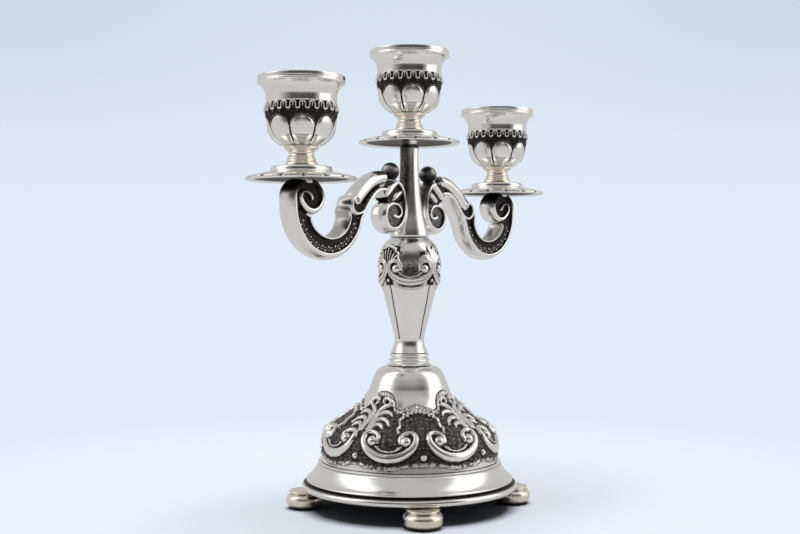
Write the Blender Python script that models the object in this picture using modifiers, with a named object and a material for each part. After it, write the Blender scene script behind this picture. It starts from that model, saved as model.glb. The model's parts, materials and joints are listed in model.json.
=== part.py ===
"""Tabletop candelabra: three candle cups on a round silver foot.

The floor is z = 0, the column stands on the Z axis, the two arms lie along X and the four feet
stand on the diagonals. Outlines are (radius, height) or (reach, height) pairs in millimetres.
"""

import math

import bmesh
import bpy

MM = 0.001
CLEAR = 0.3
FINE_STEPS = 32
ROUND_STEPS = 20
SMALL_STEPS = 14

# The stand, from the floor up.
FOOT_RADIUS = 9.4
FOOT_HEIGHT = 9.0
FOOT_ROUND = 3.4
FOOT_CIRCLE = 52.5
RIM_BOTTOM = FOOT_HEIGHT + CLEAR
RIM_TOP = 23.6
PLATE_TOP = 10.5
DOME_WALL = 1.5
DOME_TOP = 71.0
COLLAR_TOP = 77.2
SEAM = 135.2
TUBE_BORE = 3.2

# The branch that stands on the seam.
COLUMN_TOP = 184.5
FERRULE_DEPTH = 14.0
ARM_THICKNESS = 10.2
ARM_CHAMFER = 0.6
ARM_TOP = 158.6
CUP_REACH = 79.2
ARM_PAN_HEIGHT = 161.2
COLUMN_PAN_HEIGHT = 183.5
BUD_REACH = 15.4
BUD_SEAT = 161.5

# The central rod and the screws of the cups.
ROD_RADIUS = 2.0
ROD_TOP = 148.0
NUT_ACROSS_FLATS = 8.0
NUT_HEIGHT = 3.2
WASHER_RADIUS = 7.0
SCREW_RADIUS = 1.5
SCREW_HOLE = SCREW_RADIUS + CLEAR
SCREW_DEPTH = 8.2

# Heights above a drip pan's edge.
PAN_UNDERSIDE = 1.3
PAN_SEAT = 5.3
FOOT_SEAT = 14.5
BOWL_RIM = 33.2
LINER_FLOOR = 20.4
LINER_LIP = 45.9
CANDLE_RADIUS = 11.4

# Colour, roughness and metallic value.
FINISHES = {
    "bright silver": ((0.84, 0.83, 0.80), 0.18, 1.0),
    "darkened silver": ((0.46, 0.45, 0.43), 0.34, 1.0),
    "gilt silver": ((0.83, 0.79, 0.70), 0.20, 1.0),
    "steel": ((0.56, 0.57, 0.58), 0.36, 1.0),
    "brass": ((0.78, 0.62, 0.34), 0.30, 1.0),
    "pitch": ((0.05, 0.045, 0.04), 0.85, 0.0),
}


def clear_scene():
    for obj in list(bpy.data.objects):
        bpy.data.objects.remove(obj, do_unlink=True)


def new_collection(name):
    collection = bpy.data.collections.new(name)
    bpy.context.scene.collection.children.link(collection)
    return collection


def material(name, finish):
    color, roughness, metallic = FINISHES[finish]
    made = bpy.data.materials.new(name)
    made.use_nodes = True
    shader = made.node_tree.nodes["Principled BSDF"]
    shader.inputs["Base Color"].default_value = (*color, 1.0)
    shader.inputs["Roughness"].default_value = roughness
    shader.inputs["Metallic"].default_value = metallic
    made.diffuse_color = (*color, 1.0)
    return made


def place(obj, at, parent=None):
    """Puts the object at a point given in millimetres in the world, under its parent."""
    obj.location = [value * MM for value in at]
    if parent:
        obj.parent = parent
        obj.location -= parent.location


def arc(center, radius_x, radius_z, start, stop, count):
    """Points along an ellipse between two angles in degrees."""
    turns = [math.radians(start + (stop - start) * i / count) for i in range(count + 1)]
    return [(center[0] + radius_x * math.cos(t), center[1] + radius_z * math.sin(t)) for t in turns]


def inset(outline, depth):
    """The outline of a wall's other face: each point moves inwards, square to its neighbours' line."""
    moved = []
    for i, (radius, height) in enumerate(outline):
        before = outline[max(i - 1, 0)]
        after = outline[min(i + 1, len(outline) - 1)]
        along = (after[0] - before[0], after[1] - before[1])
        length = math.hypot(*along)
        moved.append((radius + along[1] / length * depth, height - along[0] / length * depth))
    return moved


def turned(name, outline, finish, at=(0, 0, 0), steps=ROUND_STEPS, parent=None):
    """A body of revolution. Its outline runs out and down, and ends on the axis or where it began."""
    points = [(radius * MM, 0.0, height * MM) for radius, height in outline]
    edges = [(i, i + 1) for i in range(len(points) - 1)]
    if outline[0][0] > 0:
        edges.append((len(points) - 1, 0))
    mesh = bpy.data.meshes.new(name)
    mesh.from_pydata(points, edges, [])
    obj = bpy.data.objects.new(name, mesh)
    parts.objects.link(obj)
    screw = obj.modifiers.new("Turn", "SCREW")
    screw.axis = "Z"
    screw.steps = steps
    screw.render_steps = steps
    screw.use_merge_vertices = True
    screw.merge_threshold = 0.00005
    screw.use_smooth_shade = True
    obj.data.materials.append(material(name, finish))
    place(obj, at, parent)
    return obj


def extruded(name, outlines, thickness, chamfer, finish, at, rotation, parent=None):
    """A flat outline, with holes if there is more than one, given its thickness and made a mesh."""
    curve = bpy.data.curves.new(name, "CURVE")
    curve.dimensions = "2D"
    curve.fill_mode = "BOTH"
    curve.extrude = (thickness / 2 - chamfer) * MM
    curve.bevel_depth = chamfer * MM
    curve.bevel_resolution = 0
    curve.offset = -chamfer * MM
    for outline in outlines:
        spline = curve.splines.new("POLY")
        spline.points.add(len(outline) - 1)
        for point, (x, y) in zip(spline.points, outline):
            point.co = (x * MM, y * MM, 0.0, 1.0)
        spline.use_cyclic_u = True
    guide = bpy.data.objects.new(name + "_outline", curve)
    parts.objects.link(guide)
    graph = bpy.context.evaluated_depsgraph_get()
    mesh = bpy.data.meshes.new_from_object(guide.evaluated_get(graph))
    bpy.data.objects.remove(guide)
    weld(mesh)
    obj = bpy.data.objects.new(name, mesh)
    parts.objects.link(obj)
    obj.rotation_euler = rotation
    obj.data.materials.append(material(name, finish))
    place(obj, at, parent)
    return obj


def weld(mesh):
    """Joins the loose caps of a mesh that came from a curve."""
    work = bmesh.new()
    work.from_mesh(mesh)
    bmesh.ops.remove_doubles(work, verts=work.verts, dist=0.00001)
    work.to_mesh(mesh)
    work.free()


def drill(obj, radius, low, high):
    """Cuts an upright hole through obj, from low to high, each a point in millimetres."""
    bpy.ops.mesh.primitive_cylinder_add(
        vertices=SMALL_STEPS,
        radius=radius * MM,
        depth=(high[2] - low[2]) * MM,
        location=[(a + b) / 2 * MM for a, b in zip(low, high)],
    )
    cutter = bpy.context.object
    cutter.name = obj.name + "_drill"
    cutter.hide_render = True
    cutter.display_type = "WIRE"
    for collection in list(cutter.users_collection):
        collection.objects.unlink(cutter)
    cutters.objects.link(cutter)
    cut = obj.modifiers.new("Drill", "BOOLEAN")
    cut.operation = "DIFFERENCE"
    cut.solver = "EXACT"
    cut.object = cutter


def make_foot(name, turn):
    """A squat bun foot: a flat top and bottom joined by rounded edges."""
    middle = FOOT_RADIUS - FOOT_ROUND
    upper = arc((middle, FOOT_HEIGHT - FOOT_ROUND), FOOT_ROUND, FOOT_ROUND, 90, 0, 3)
    lower = arc((middle, FOOT_ROUND), FOOT_ROUND, FOOT_ROUND, 0, -90, 3)
    outline = [(0, FOOT_HEIGHT)] + upper + lower + [(0, 0)]
    at = (FOOT_CIRCLE * math.cos(turn), FOOT_CIRCLE * math.sin(turn), 0)
    turned(name, outline, "gilt silver", at, SMALL_STEPS)


def make_rim():
    """The moulding round the foot: a roll, a cove and a step, hollow behind, rebated for the plate."""
    step = [(42.0, RIM_TOP), (45.6, RIM_TOP), (46.3, 22.0)]
    outside = step + [(48.5, 18.2), (51.6, 14.8), (52.6, 13.0)]
    roll = arc((52.4, 11.1), 1.8, 1.8, 60, -90, 4)
    rebate = [(46.0, RIM_BOTTOM), (46.0, PLATE_TOP + CLEAR), (43.6, PLATE_TOP + CLEAR), (43.6, 12.2)]
    inside = [(50.4, 12.2), (50.0, 13.9), (46.9, 17.4), (44.9, 20.6), (42.0, 22.0)]
    turned("base_rim", outside + roll + rebate + inside, "bright silver", steps=FINE_STEPS)


def dome_outline():
    """The domed foot's outer face, from its flat top to the ledge of the rim."""
    return [
        (11.0, DOME_TOP),
        (14.4, 70.0),
        (16.4, 68.3),
        (18.2, 65.6),
        (20.2, 59.6),
        (22.4, 55.4),
        (26.2, 51.2),
        (32.2, 46.8),
        (38.3, 42.6),
        (42.2, 39.7),
        (44.0, 35.5),
        (44.8, 30.3),
        (44.9, RIM_TOP + CLEAR),
    ]


def make_dome():
    outside = dome_outline()
    inside = inset(outside, DOME_WALL)
    inside[0] = (inside[0][0], DOME_TOP - DOME_WALL)
    inside[-1] = (inside[-1][0], RIM_TOP + CLEAR)
    outline = [(TUBE_BORE, DOME_TOP)] + outside + inside[::-1] + [(TUBE_BORE, DOME_TOP - DOME_WALL)]
    turned("base_dome", outline, "darkened silver", steps=FINE_STEPS)


def make_filling():
    """The weight that fills the dome down to the plate, bored for the rod."""
    outside = inset(dome_outline(), DOME_WALL + CLEAR)
    outside[0] = (outside[0][0], DOME_TOP - DOME_WALL - CLEAR)
    skirt = [(41.7, RIM_TOP), (41.7, PLATE_TOP + CLEAR)]
    outline = [(TUBE_BORE, outside[0][1])] + outside[:-1] + skirt + [(TUBE_BORE, PLATE_TOP + CLEAR)]
    turned("base_filling", outline, "pitch")


def make_plate():
    low = RIM_BOTTOM
    edge = 46.0 - CLEAR
    outline = [(ROD_RADIUS + CLEAR, PLATE_TOP), (edge, PLATE_TOP), (edge, low), (ROD_RADIUS + CLEAR, low)]
    turned("base_plate", outline, "bright silver")


def make_rod():
    """The rod that clamps the stand and the branch together, with its washer and nut under the plate."""
    washer_top = RIM_BOTTOM - CLEAR
    washer_low = washer_top - 1.0
    hole = ROD_RADIUS + CLEAR
    upper = [(hole, washer_top), (WASHER_RADIUS, washer_top)]
    lower = [(WASHER_RADIUS, washer_low), (hole, washer_low)]
    turned("tie_washer", upper + lower, "steel", steps=SMALL_STEPS)
    nut_top = washer_low - CLEAR
    corner = NUT_ACROSS_FLATS / math.sqrt(3)
    hexagon = arc((0, 0), corner, corner, 0, 300, 5)
    bore = arc((0, 0), hole, hole, 0, 337.5, 15)
    middle = (0, 0, nut_top - NUT_HEIGHT / 2)
    extruded("tie_nut", [hexagon, bore], NUT_HEIGHT, 0, "steel", middle, (0, 0, 0))
    low = nut_top - NUT_HEIGHT - 0.6
    rod = [(0, ROD_TOP), (ROD_RADIUS, ROD_TOP), (ROD_RADIUS, low), (0, low)]
    turned("tie_rod", rod, "steel", steps=SMALL_STEPS)


def make_stem():
    """The ringed collar on the dome and the vase-shaped stem that swells to a knop below the seam."""
    low = DOME_TOP + CLEAR
    ring = [(TUBE_BORE, COLLAR_TOP), (9.1, COLLAR_TOP), (9.7, 76.2), (9.1, 74.9)]
    flange = [(10.0, 74.2), (10.4, 72.8), (10.4, low), (TUBE_BORE, low)]
    turned("stem_collar", ring + flange, "bright silver")
    foot = COLLAR_TOP + CLEAR
    shoulder = [(TUBE_BORE, SEAM), (9.4, SEAM)]
    knop = arc((4.6, 121.0), 12.0, 14.4, 66, -32, 7)
    vase = [(13.2, 106.4), (10.9, 98.4), (8.8, 91.0), (7.6, 85.6), (7.5, 82.6), (8.1, 80.2), (9.0, foot)]
    turned("stem", shoulder + knop + vase + [(TUBE_BORE, foot)], "darkened silver")


def make_column(branch):
    """The tapered column, drilled below for the rod's ferrule and above for the middle cup's screw."""
    low = SEAM + CLEAR
    bore = 4.2
    ferrule_top = low + FERRULE_DEPTH
    screw_end = COLUMN_TOP - SCREW_DEPTH
    top = [(0, screw_end), (SCREW_HOLE, screw_end), (SCREW_HOLE, COLUMN_TOP), (4.0, COLUMN_TOP)]
    side = [(3.9, 181.4), (4.6, 180.2), (4.65, 174.0), (5.4, 160.0), (6.5, 151.5), (7.7, 145.0)]
    flare = [(9.0, 140.2), (9.6, 137.6), (9.5, low), (bore, low), (bore, ferrule_top + CLEAR)]
    turned("column", top + side + flare + [(0, ferrule_top + CLEAR)], "bright silver", parent=branch)
    inner = ROD_RADIUS + CLEAR
    outer = bore - CLEAR
    ring = [(inner, ferrule_top), (outer, ferrule_top), (outer, low), (inner, low)]
    turned("column_ferrule", ring, "brass", steps=SMALL_STEPS, parent=branch)


def arm_outline():
    """The S-scroll of an arm: volute at the column, arch, knuckle, deep U, and volute under the pan."""
    column_volute = arc((17.3, 147.6), 9.9, 10.9, 50, -255, 16)
    shoulder = [(12.4, 161.2), (18.6, 161.2), (19.4, 166.4)]
    arch_top = [(24.5, 167.0), (31.0, 166.2), (37.0, 163.8), (41.6, 160.8), (45.2, 157.4), (48.4, 154.6)]
    knuckle = [(50.9, 152.2), (51.7, 149.6), (52.7, 147.4), (52.4, 145.6), (50.9, 143.9)]
    inside_u = arc((64.6, 143.7), 13.9, 12.0, 190, 350, 11)
    pan_volute = arc((77.6, 151.2), 9.1, 9.1, -92, -236, 8)
    top = [(74.0, ARM_TOP), (82.9, ARM_TOP)]
    outside_u = arc((64.8, 149.1), 24.0, 24.0, 18, -172, 15)
    arch_below = [(39.6, 148.6), (36.4, 152.2), (32.4, 155.4), (28.2, 156.9), (25.2, 157.0)]
    outline = column_volute + shoulder + arch_top + knuckle + inside_u
    return outline + pan_volute + top + outside_u + arch_below


def make_arm(side, turn, branch):
    """An arm with the turned bud on its shoulder and the ferrule that carries its pan."""
    reach = math.cos(turn)
    stand_up = (math.pi / 2, 0, turn)
    name = "arm_" + side
    outline = [arm_outline()]
    origin = (0, 0, 0)
    arm = extruded(name, outline, ARM_THICKNESS, ARM_CHAMFER, "bright silver", origin, stand_up, branch)
    middle = CUP_REACH * reach
    hole_end = ARM_PAN_HEIGHT + 1 - SCREW_DEPTH - 3
    drill(arm, SCREW_HOLE, (middle, 0, hole_end), (middle, 0, ARM_TOP + 1))
    bud = [(0, 10.6)] + arc((0, 6.3), 4.2, 4.3, 70, -40, 5) + [(2.2, 1.6), (3.2, 0), (0, 0)]
    turned("arm_bud_" + side, bud, "darkened silver", (BUD_REACH * reach, 0, BUD_SEAT), SMALL_STEPS, branch)
    low = ARM_TOP + CLEAR
    top = ARM_PAN_HEIGHT + PAN_UNDERSIDE - CLEAR
    ring = [(SCREW_HOLE, top), (5.6, top), (5.6, low), (SCREW_HOLE, low)]
    turned("arm_ferrule_" + side, ring, "bright silver", (middle, 0, 0), SMALL_STEPS, branch)


def make_cup(side, at, branch):
    """A drip pan, a waisted foot, a bowl, the screw that joins them, and the bowl's lift-out liner."""
    under = PAN_UNDERSIDE
    boss = [(SCREW_HOLE, PAN_SEAT), (13.1, PAN_SEAT), (13.7, 4.8), (14.0, 2.9)]
    edge = [(25.0, 0.2), (25.4, -0.5), (25.1, -1.1), (24.2, -1.1), (13.4, under), (SCREW_HOLE, under)]
    turned("pan_" + side, boss + edge, "bright silver", at, ROUND_STEPS, branch)

    low = PAN_SEAT + CLEAR
    waist = [(SCREW_HOLE, FOOT_SEAT), (8.6, FOOT_SEAT), (9.2, 13.7), (8.6, 12.8), (6.3, 11.5)]
    flange = [(6.2, 10.2), (7.1, 8.4), (7.4, 7.0), (8.8, 6.5), (8.8, low), (SCREW_HOLE, low)]
    turned("cup_foot_" + side, waist + flange, "gilt silver", at, SMALL_STEPS, branch)

    floor = FOOT_SEAT + CLEAR
    rim = [(14.9, BOWL_RIM), (16.2, BOWL_RIM), (17.1, 31.3), (17.2, 29.3), (16.5, 27.0)]
    belly = [(16.0, 24.0), (15.2, 21.0), (13.4, 18.3), (10.6, 15.8), (9.0, floor), (SCREW_HOLE, floor)]
    hollow = [(SCREW_HOLE, 16.2), (9.6, 16.3), (12.9, 19.0), (14.1, 22.0), (14.8, 26.6)]
    turned("cup_bowl_" + side, rim + belly + hollow, "darkened silver", at, ROUND_STEPS, branch)

    head = 16.2 + CLEAR
    tip = PAN_UNDERSIDE - SCREW_DEPTH
    screw = [(0, head + 1.8), (3.6, head + 1.8), (4.2, head + 1.0), (4.2, head), (SCREW_RADIUS, head)]
    turned("cup_screw_" + side, screw + [(SCREW_RADIUS, tip), (0, tip)], "steel", at, SMALL_STEPS, branch)

    shelf = BOWL_RIM + CLEAR
    socket = [(0, LINER_FLOOR), (CANDLE_RADIUS, LINER_FLOOR), (CANDLE_RADIUS, 36.4), (12.6, 39.4)]
    lip = [(15.2, 42.4), (18.4, LINER_LIP), (19.6, LINER_LIP), (20.0, 45.3), (20.0, 42.9), (17.8, 41.2)]
    neck = [(16.7, 38.6), (16.1, 35.6), (16.1, shelf), (12.5, shelf), (12.5, 20.4), (11.7, 19.4), (0, 19.4)]
    turned("cup_liner_" + side, socket + lip + neck, "bright silver", at, ROUND_STEPS, branch)


def make_branch():
    """Everything that turns on the seam, under one empty on the turning axis."""
    branch = bpy.data.objects.new("branch_pivot", None)
    parts.objects.link(branch)
    branch.location = (0, 0, SEAM * MM)
    make_column(branch)
    for side, turn in (("left", math.pi), ("right", 0.0)):
        make_arm(side, turn, branch)
        make_cup(side, (CUP_REACH * math.cos(turn), 0, ARM_PAN_HEIGHT), branch)
    make_cup("center", (0, 0, COLUMN_PAN_HEIGHT), branch)


def make_stand():
    corners = ("back_right", "back_left", "front_left", "front_right")
    for i, corner in enumerate(corners):
        make_foot("foot_" + corner, math.radians(45 + 90 * i))
    make_rim()
    make_plate()
    make_filling()
    make_dome()
    make_rod()
    make_stem()


clear_scene()
parts = new_collection("tabletop_candelabra")
cutters = new_collection("cutters")
make_stand()
make_branch()
bpy.context.view_layer.update()
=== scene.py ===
"""The tabletop candelabra's looks: cast scrolls, chased relief and blackened silver round the CAD frame.

All shapes are worked out in millimetres. Each piece is placed by the box of the CAD node that it stands for.
Its outline gives heights above the floor or, for the pieces of a cup, above the edge of the drip pan.
"""

import json
import math

import bpy
import numpy as np
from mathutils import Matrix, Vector


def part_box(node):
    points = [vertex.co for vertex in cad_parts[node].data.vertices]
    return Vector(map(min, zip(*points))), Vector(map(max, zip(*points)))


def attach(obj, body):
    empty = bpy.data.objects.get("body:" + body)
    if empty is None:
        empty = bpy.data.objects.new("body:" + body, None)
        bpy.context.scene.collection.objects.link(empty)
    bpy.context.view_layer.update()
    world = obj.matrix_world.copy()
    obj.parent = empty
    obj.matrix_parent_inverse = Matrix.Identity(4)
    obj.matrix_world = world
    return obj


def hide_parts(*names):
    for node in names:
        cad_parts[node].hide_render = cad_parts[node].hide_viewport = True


MM = 0.001
SIDES = ("left", "center", "right")

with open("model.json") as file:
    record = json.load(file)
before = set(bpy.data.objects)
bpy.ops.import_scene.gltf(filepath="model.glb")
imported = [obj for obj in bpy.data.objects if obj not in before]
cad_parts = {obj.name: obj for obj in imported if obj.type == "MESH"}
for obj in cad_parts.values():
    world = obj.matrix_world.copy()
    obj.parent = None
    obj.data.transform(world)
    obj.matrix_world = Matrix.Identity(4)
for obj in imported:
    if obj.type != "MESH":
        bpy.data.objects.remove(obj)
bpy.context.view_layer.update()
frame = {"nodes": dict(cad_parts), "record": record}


def low(node):
    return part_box(node)[0] / MM


def high(node):
    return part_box(node)[1] / MM


# ---------------------------------------------------------------- curves and profiles


def smooth(points, per_span=8):
    """A Catmull-Rom curve through the points, as an array of rows."""
    p = np.asarray(points, float)
    p = np.vstack([2 * p[0] - p[1], p, 2 * p[-1] - p[-2]])
    t = np.linspace(0, 1, per_span, endpoint=False)[:, None]
    spans = []
    for a, b, c, d in zip(p, p[1:], p[2:], p[3:]):
        square = (2 * a - 5 * b + 4 * c - d) * t**2
        cube = (3 * b - a - 3 * c + d) * t**3
        spans.append(0.5 * (2 * b + (c - a) * t + square + cube))
    return np.vstack(spans + [p[-2:-1]])


def lengths(points):
    """Distance along a polyline at each of its points."""
    steps = np.linalg.norm(np.diff(points[:, :2], axis=0), axis=1)
    return np.concatenate([[0], np.cumsum(steps)])


def resample(points, count):
    """The polyline again, with evenly spaced points."""
    along = lengths(points)
    at = np.linspace(0, along[-1], count)
    return np.column_stack([np.interp(at, along, column) for column in points.T])


def arc(center, radius, start, stop, count=8):
    turn = np.radians(np.linspace(start, stop, count))
    return [(center[0] + radius * math.cos(t), center[1] + radius * math.sin(t)) for t in turn]


def along_path(values, part):
    """A few values spread evenly along a path, read at parts of its length from 0 to 1."""
    return np.interp(part, np.linspace(0, 1, np.size(values)), np.atleast_1d(values))


def ellipse(center, reach, rise, turn):
    return np.column_stack([center[0] + reach * np.cos(turn), center[1] + rise * np.sin(turn)])


def step01(edge0, edge1, x):
    t = np.clip((x - edge0) / (edge1 - edge0), 0, 1)
    return t * t * (3 - 2 * t)


# ---------------------------------------------------------------- mesh building


class Shape:
    """Grids of points gathered into one mesh, with how dark each point is."""

    def __init__(self):
        self.points, self.faces, self.dark, self.count = [], [], [], 0

    def grid(self, points, dark=0.0, wrap_columns=False, flip=False):
        """Adds a grid of shape (rows, columns, 3), whose last column can close on its first."""
        rows, columns = points.shape[:2]
        index = np.arange(rows * columns).reshape(rows, columns) + self.count
        across = np.hstack([index, index[:, :1]]) if wrap_columns else index
        upper, lower = across[:-1], across[1:]
        quads = np.stack([upper[:, :-1], upper[:, 1:], lower[:, 1:], lower[:, :-1]], axis=-1).reshape(-1, 4)
        self.faces.append(quads[:, ::-1] if flip else quads)
        self.points.append(points.reshape(-1, 3))
        self.dark.append(np.broadcast_to(dark, (rows, columns)).reshape(-1))
        self.count += rows * columns
        return self

    def mirrored(self):
        """A copy of the shape, mirrored in X."""
        other = Shape()
        other.points = [p * (-1, 1, 1) for p in self.points]
        other.faces = [f[:, ::-1] for f in self.faces]
        other.dark, other.count = list(self.dark), self.count
        return other

    def mesh(self, name):
        points = np.vstack(self.points) * MM
        faces = np.vstack(self.faces)
        mesh = bpy.data.meshes.new(name)
        mesh.vertices.add(len(points))
        mesh.vertices.foreach_set("co", points.astype(np.float32).ravel())
        mesh.loops.add(faces.size)
        mesh.loops.foreach_set("vertex_index", faces.astype(np.int32).ravel())
        mesh.polygons.add(len(faces))
        mesh.polygons.foreach_set("loop_start", np.arange(0, faces.size, 4, dtype=np.int32))
        mesh.update(calc_edges=True)
        mesh.validate()
        mesh.shade_smooth()
        layer = mesh.attributes.new("dark", "FLOAT", "POINT")
        layer.data.foreach_set("value", np.concatenate(self.dark).astype(np.float32))
        return mesh


def show(shape, name, body, look, slot, *nodes, at=(0, 0, 0)):
    """Puts a shape in the scene as a piece that rides on a body and stands for some CAD nodes."""
    mesh = shape if isinstance(shape, bpy.types.Mesh) else shape.mesh(name)
    obj = bpy.data.objects.new(name, mesh)
    bpy.context.scene.collection.objects.link(obj)
    if not mesh.materials:
        mesh.materials.append(look)
    obj.location = Vector(at) * MM
    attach(obj, body)
    if nodes:
        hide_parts(*nodes)
    return obj


def lathe(profile, columns=128, radial=None, dark=0.0):
    """A surface of revolution from (radius, height) rows, top first.

    radial, if given, is how far each point moves out, square to the profile.
    """
    profile = np.asarray(profile, float)
    turn = np.linspace(0, 2 * math.pi, columns, endpoint=False)
    radius = np.repeat(profile[:, :1], columns, axis=1)
    height = np.repeat(profile[:, 1:2], columns, axis=1)
    if radial is not None:
        along = np.gradient(profile, axis=0)
        along /= np.linalg.norm(along, axis=1, keepdims=True) + 1e-12
        radius = radius - along[:, 1:2] * radial
        height = height + along[:, 0:1] * radial
    points = np.stack([radius * np.cos(turn), radius * np.sin(turn), height], axis=-1)
    return Shape().grid(points, dark, wrap_columns=True, flip=True)


# ---------------------------------------------------------------- relief on turned surfaces


def blur(field, reach):
    """A box blur with mirrored edges, run twice."""
    for _ in range(2):
        for axis in (0, 1):
            pad = [(reach, reach) if axis == i else (0, 0) for i in (0, 1)]
            total = np.cumsum(np.pad(field, pad, mode="reflect"), axis=axis)
            total = np.insert(total, 0, 0, axis=axis)
            width = 2 * reach + 1
            upper = np.take(total, range(width, total.shape[axis]), axis=axis)
            lower = np.take(total, range(total.shape[axis] - width), axis=axis)
            field = (upper - lower) / width
    return field


RELIEF_SEED = 7
FINE_SPANS = 40


class Relief:
    """Chased work on a turned surface: heights over one repeat, which is folded round the whole circle.

    Angles are in degrees from the repeat's mirror line, and rise is the distance up the profile.
    """

    def __init__(self, profile, repeat, columns):
        self.profile = profile
        self.repeat = repeat
        self.columns = columns
        self.angle = np.linspace(0, repeat, round(columns * repeat / 360) + 1)[None, :]
        self.radius = profile[:, :1]
        self.z = profile[:, 1:2]
        self.rise = (lengths(profile)[-1] - lengths(profile))[:, None]
        self.height = np.zeros((len(profile), self.angle.shape[1]))
        self.ink = np.zeros_like(self.height)
        self.rng = np.random.default_rng(RELIEF_SEED)

    def rise_at(self, z):
        return np.interp(z, self.z[::-1, 0], self.rise[::-1, 0])

    def radius_at(self, rise):
        return np.interp(rise, self.rise[::-1, 0], self.radius[::-1, 0])

    def on(self, points):
        """Rows of (angle, height above the floor) as rows of (angle, rise)."""
        return [(angle, self.rise_at(z)) for angle, z in points]

    def near(self, angle, z, points, flip=1):
        """Rows of millimetres around a center given by its angle and height, as rows of (angle, rise)."""
        middle = self.rise_at(z)
        return [(angle + flip * math.degrees(x / self.radius_at(middle + y)), middle + y) for x, y in points]

    def distance(self, path, spans=6):
        """For each grid point, its distance to the path, its side, and how far along the path it lies."""
        line = smooth(path, spans) if len(path) > 1 else np.asarray(path, float)
        dx = np.radians(self.angle[..., None] - line[:, 0]) * self.radius[..., None]
        dy = self.rise[..., None] - line[:, 1]
        square = dx**2 + dy**2
        nearest = square.argmin(axis=-1)
        away = np.sqrt(np.take_along_axis(square, nearest[..., None], -1)[..., 0])
        if len(path) == 1:
            return away, np.zeros_like(away), np.zeros_like(away)
        tangent = np.gradient(line, axis=0)
        tangent[:, 0] = np.radians(tangent[:, 0]) * self.radius_at(line[:, 1])
        pick_x = np.take_along_axis(dx, nearest[..., None], -1)[..., 0]
        pick_y = np.take_along_axis(dy, nearest[..., None], -1)[..., 0]
        side = np.sign(tangent[nearest, 0] * pick_y - tangent[nearest, 1] * pick_x)
        return away, side, nearest / (len(line) - 1)

    def stroke(self, path, half_width, height, lip=0.0, hollow=0.0):
        """Raises a rounded band along a path. lip edges its right side, and hollow sinks its middle."""
        away, side, part = self.distance(path)
        width = along_path(half_width, part)
        top = along_path(height, part)
        t = away / width
        body = np.sqrt(np.clip(1 - t**2, 0, 1)) * (1 - hollow * np.exp(-((t / 0.5) ** 2)))
        edge = lip * np.exp(-(((side * t + 0.78) / 0.2) ** 2))
        self.height = np.maximum(self.height, np.where(t < 1, top * (body + edge), 0))
        self.ink = np.maximum(self.ink, 1.3 * hollow * np.exp(-((t / 0.42) ** 2)))

    def engrave(self, path, half_width, depth):
        away, _, _ = self.distance(path, FINE_SPANS)
        cut = np.exp(-((away / half_width) ** 2))
        self.height = self.height - depth * cut
        self.ink = np.maximum(self.ink, cut)

    def grains(self, mask, size, height):
        """Adds small round grains where the mask is above zero."""
        rows = max(3, round(float(np.ptp(self.rise)) / size))
        mean_radius = float(self.radius.mean())
        columns = max(3, round(math.radians(self.repeat) * mean_radius / size))
        lattice = self.rng.random((rows, columns))
        row = self.rise / np.ptp(self.rise) * (rows - 1) + 0 * self.angle
        column = self.angle / self.repeat * (columns - 1) + 0 * self.rise
        row_sway = 0.4 * np.sin(2.1 * column + 0.7 * row)
        column_sway = 0.4 * np.sin(1.9 * row - 0.6 * column)
        row = np.clip(row + row_sway, 0, rows - 1.001)
        column = np.clip(column + column_sway, 0, columns - 1.001)
        r0 = row.astype(int)
        c0 = column.astype(int)
        fr, fc = step01(0, 1, row - r0), step01(0, 1, column - c0)
        value = lattice[r0, c0] * (1 - fr) * (1 - fc) + lattice[r0 + 1, c0] * fr * (1 - fc)
        value += lattice[r0, c0 + 1] * (1 - fr) * fc + lattice[r0 + 1, c0 + 1] * fr * fc
        self.height = self.height + mask * height * value

    def darkness(self, ground, reach=3, strength=1.6):
        """How black each point is: in the ground, and wherever the surface lies below what is around it."""
        cavity = blur(self.height, reach) - self.height
        low_ground = ground * (1 - step01(0.25, 0.9, self.height))
        worn = np.maximum(low_ground, strength * step01(0.03, 0.42, cavity))
        return np.clip(np.maximum(worn, 1.4 * self.ink - 0.2), 0, 1)

    def shape(self, dark, turn=0.0):
        """The whole surface, with the repeat folded round it and turned by an angle."""
        phi = np.arange(self.columns) * 360 / self.columns
        folded = np.abs((phi + self.repeat) % (2 * self.repeat) - self.repeat)
        index = np.rint(folded / self.repeat * (self.angle.shape[1] - 1)).astype(int)
        along = np.gradient(self.profile, axis=0)
        along /= np.linalg.norm(along, axis=1, keepdims=True)
        lift = self.height[:, index]
        radius = self.radius - along[:, 1:2] * lift
        height = self.z + along[:, 0:1] * lift
        angle = np.radians(phi + turn)
        points = np.stack([radius * np.cos(angle), radius * np.sin(angle), height], axis=-1)
        return Shape().grid(points, dark[:, index], wrap_columns=True, flip=True)


# ---------------------------------------------------------------- the domed foot

# Where the first mirror line of each relief stands, in degrees round from +X.
DOME_TURN = 227.0
STEM_TURN = 175.0
DOME_COLUMNS = 560
DOME_SHOULDER = 60.5
STEM_COLUMNS = 480


def dome_profile(bottom, top):
    """The dome without its scrolls, from its flat top down to the rim."""
    crown = [(4.0, top), (9.0, top), (12.6, top - 0.4), (15.2, top - 1.7), (17.1, top - 4.0)]
    side = [(19.0, 62.5), (20.0, 59.6), (22.0, 55.4), (25.3, 51.0), (30.4, 46.6), (35.6, 42.9)]
    foot = [(40.2, 39.6), (42.6, 35.4), (43.7, 30.4), (44.1, 26.8), (44.4, bottom)]
    line = smooth(crown + side + foot, 10)
    upper = resample(line[line[:, 1] > DOME_SHOULDER], 22)
    lower = resample(line[line[:, 1] <= DOME_SHOULDER], 150)
    return np.vstack([upper, lower])


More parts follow.
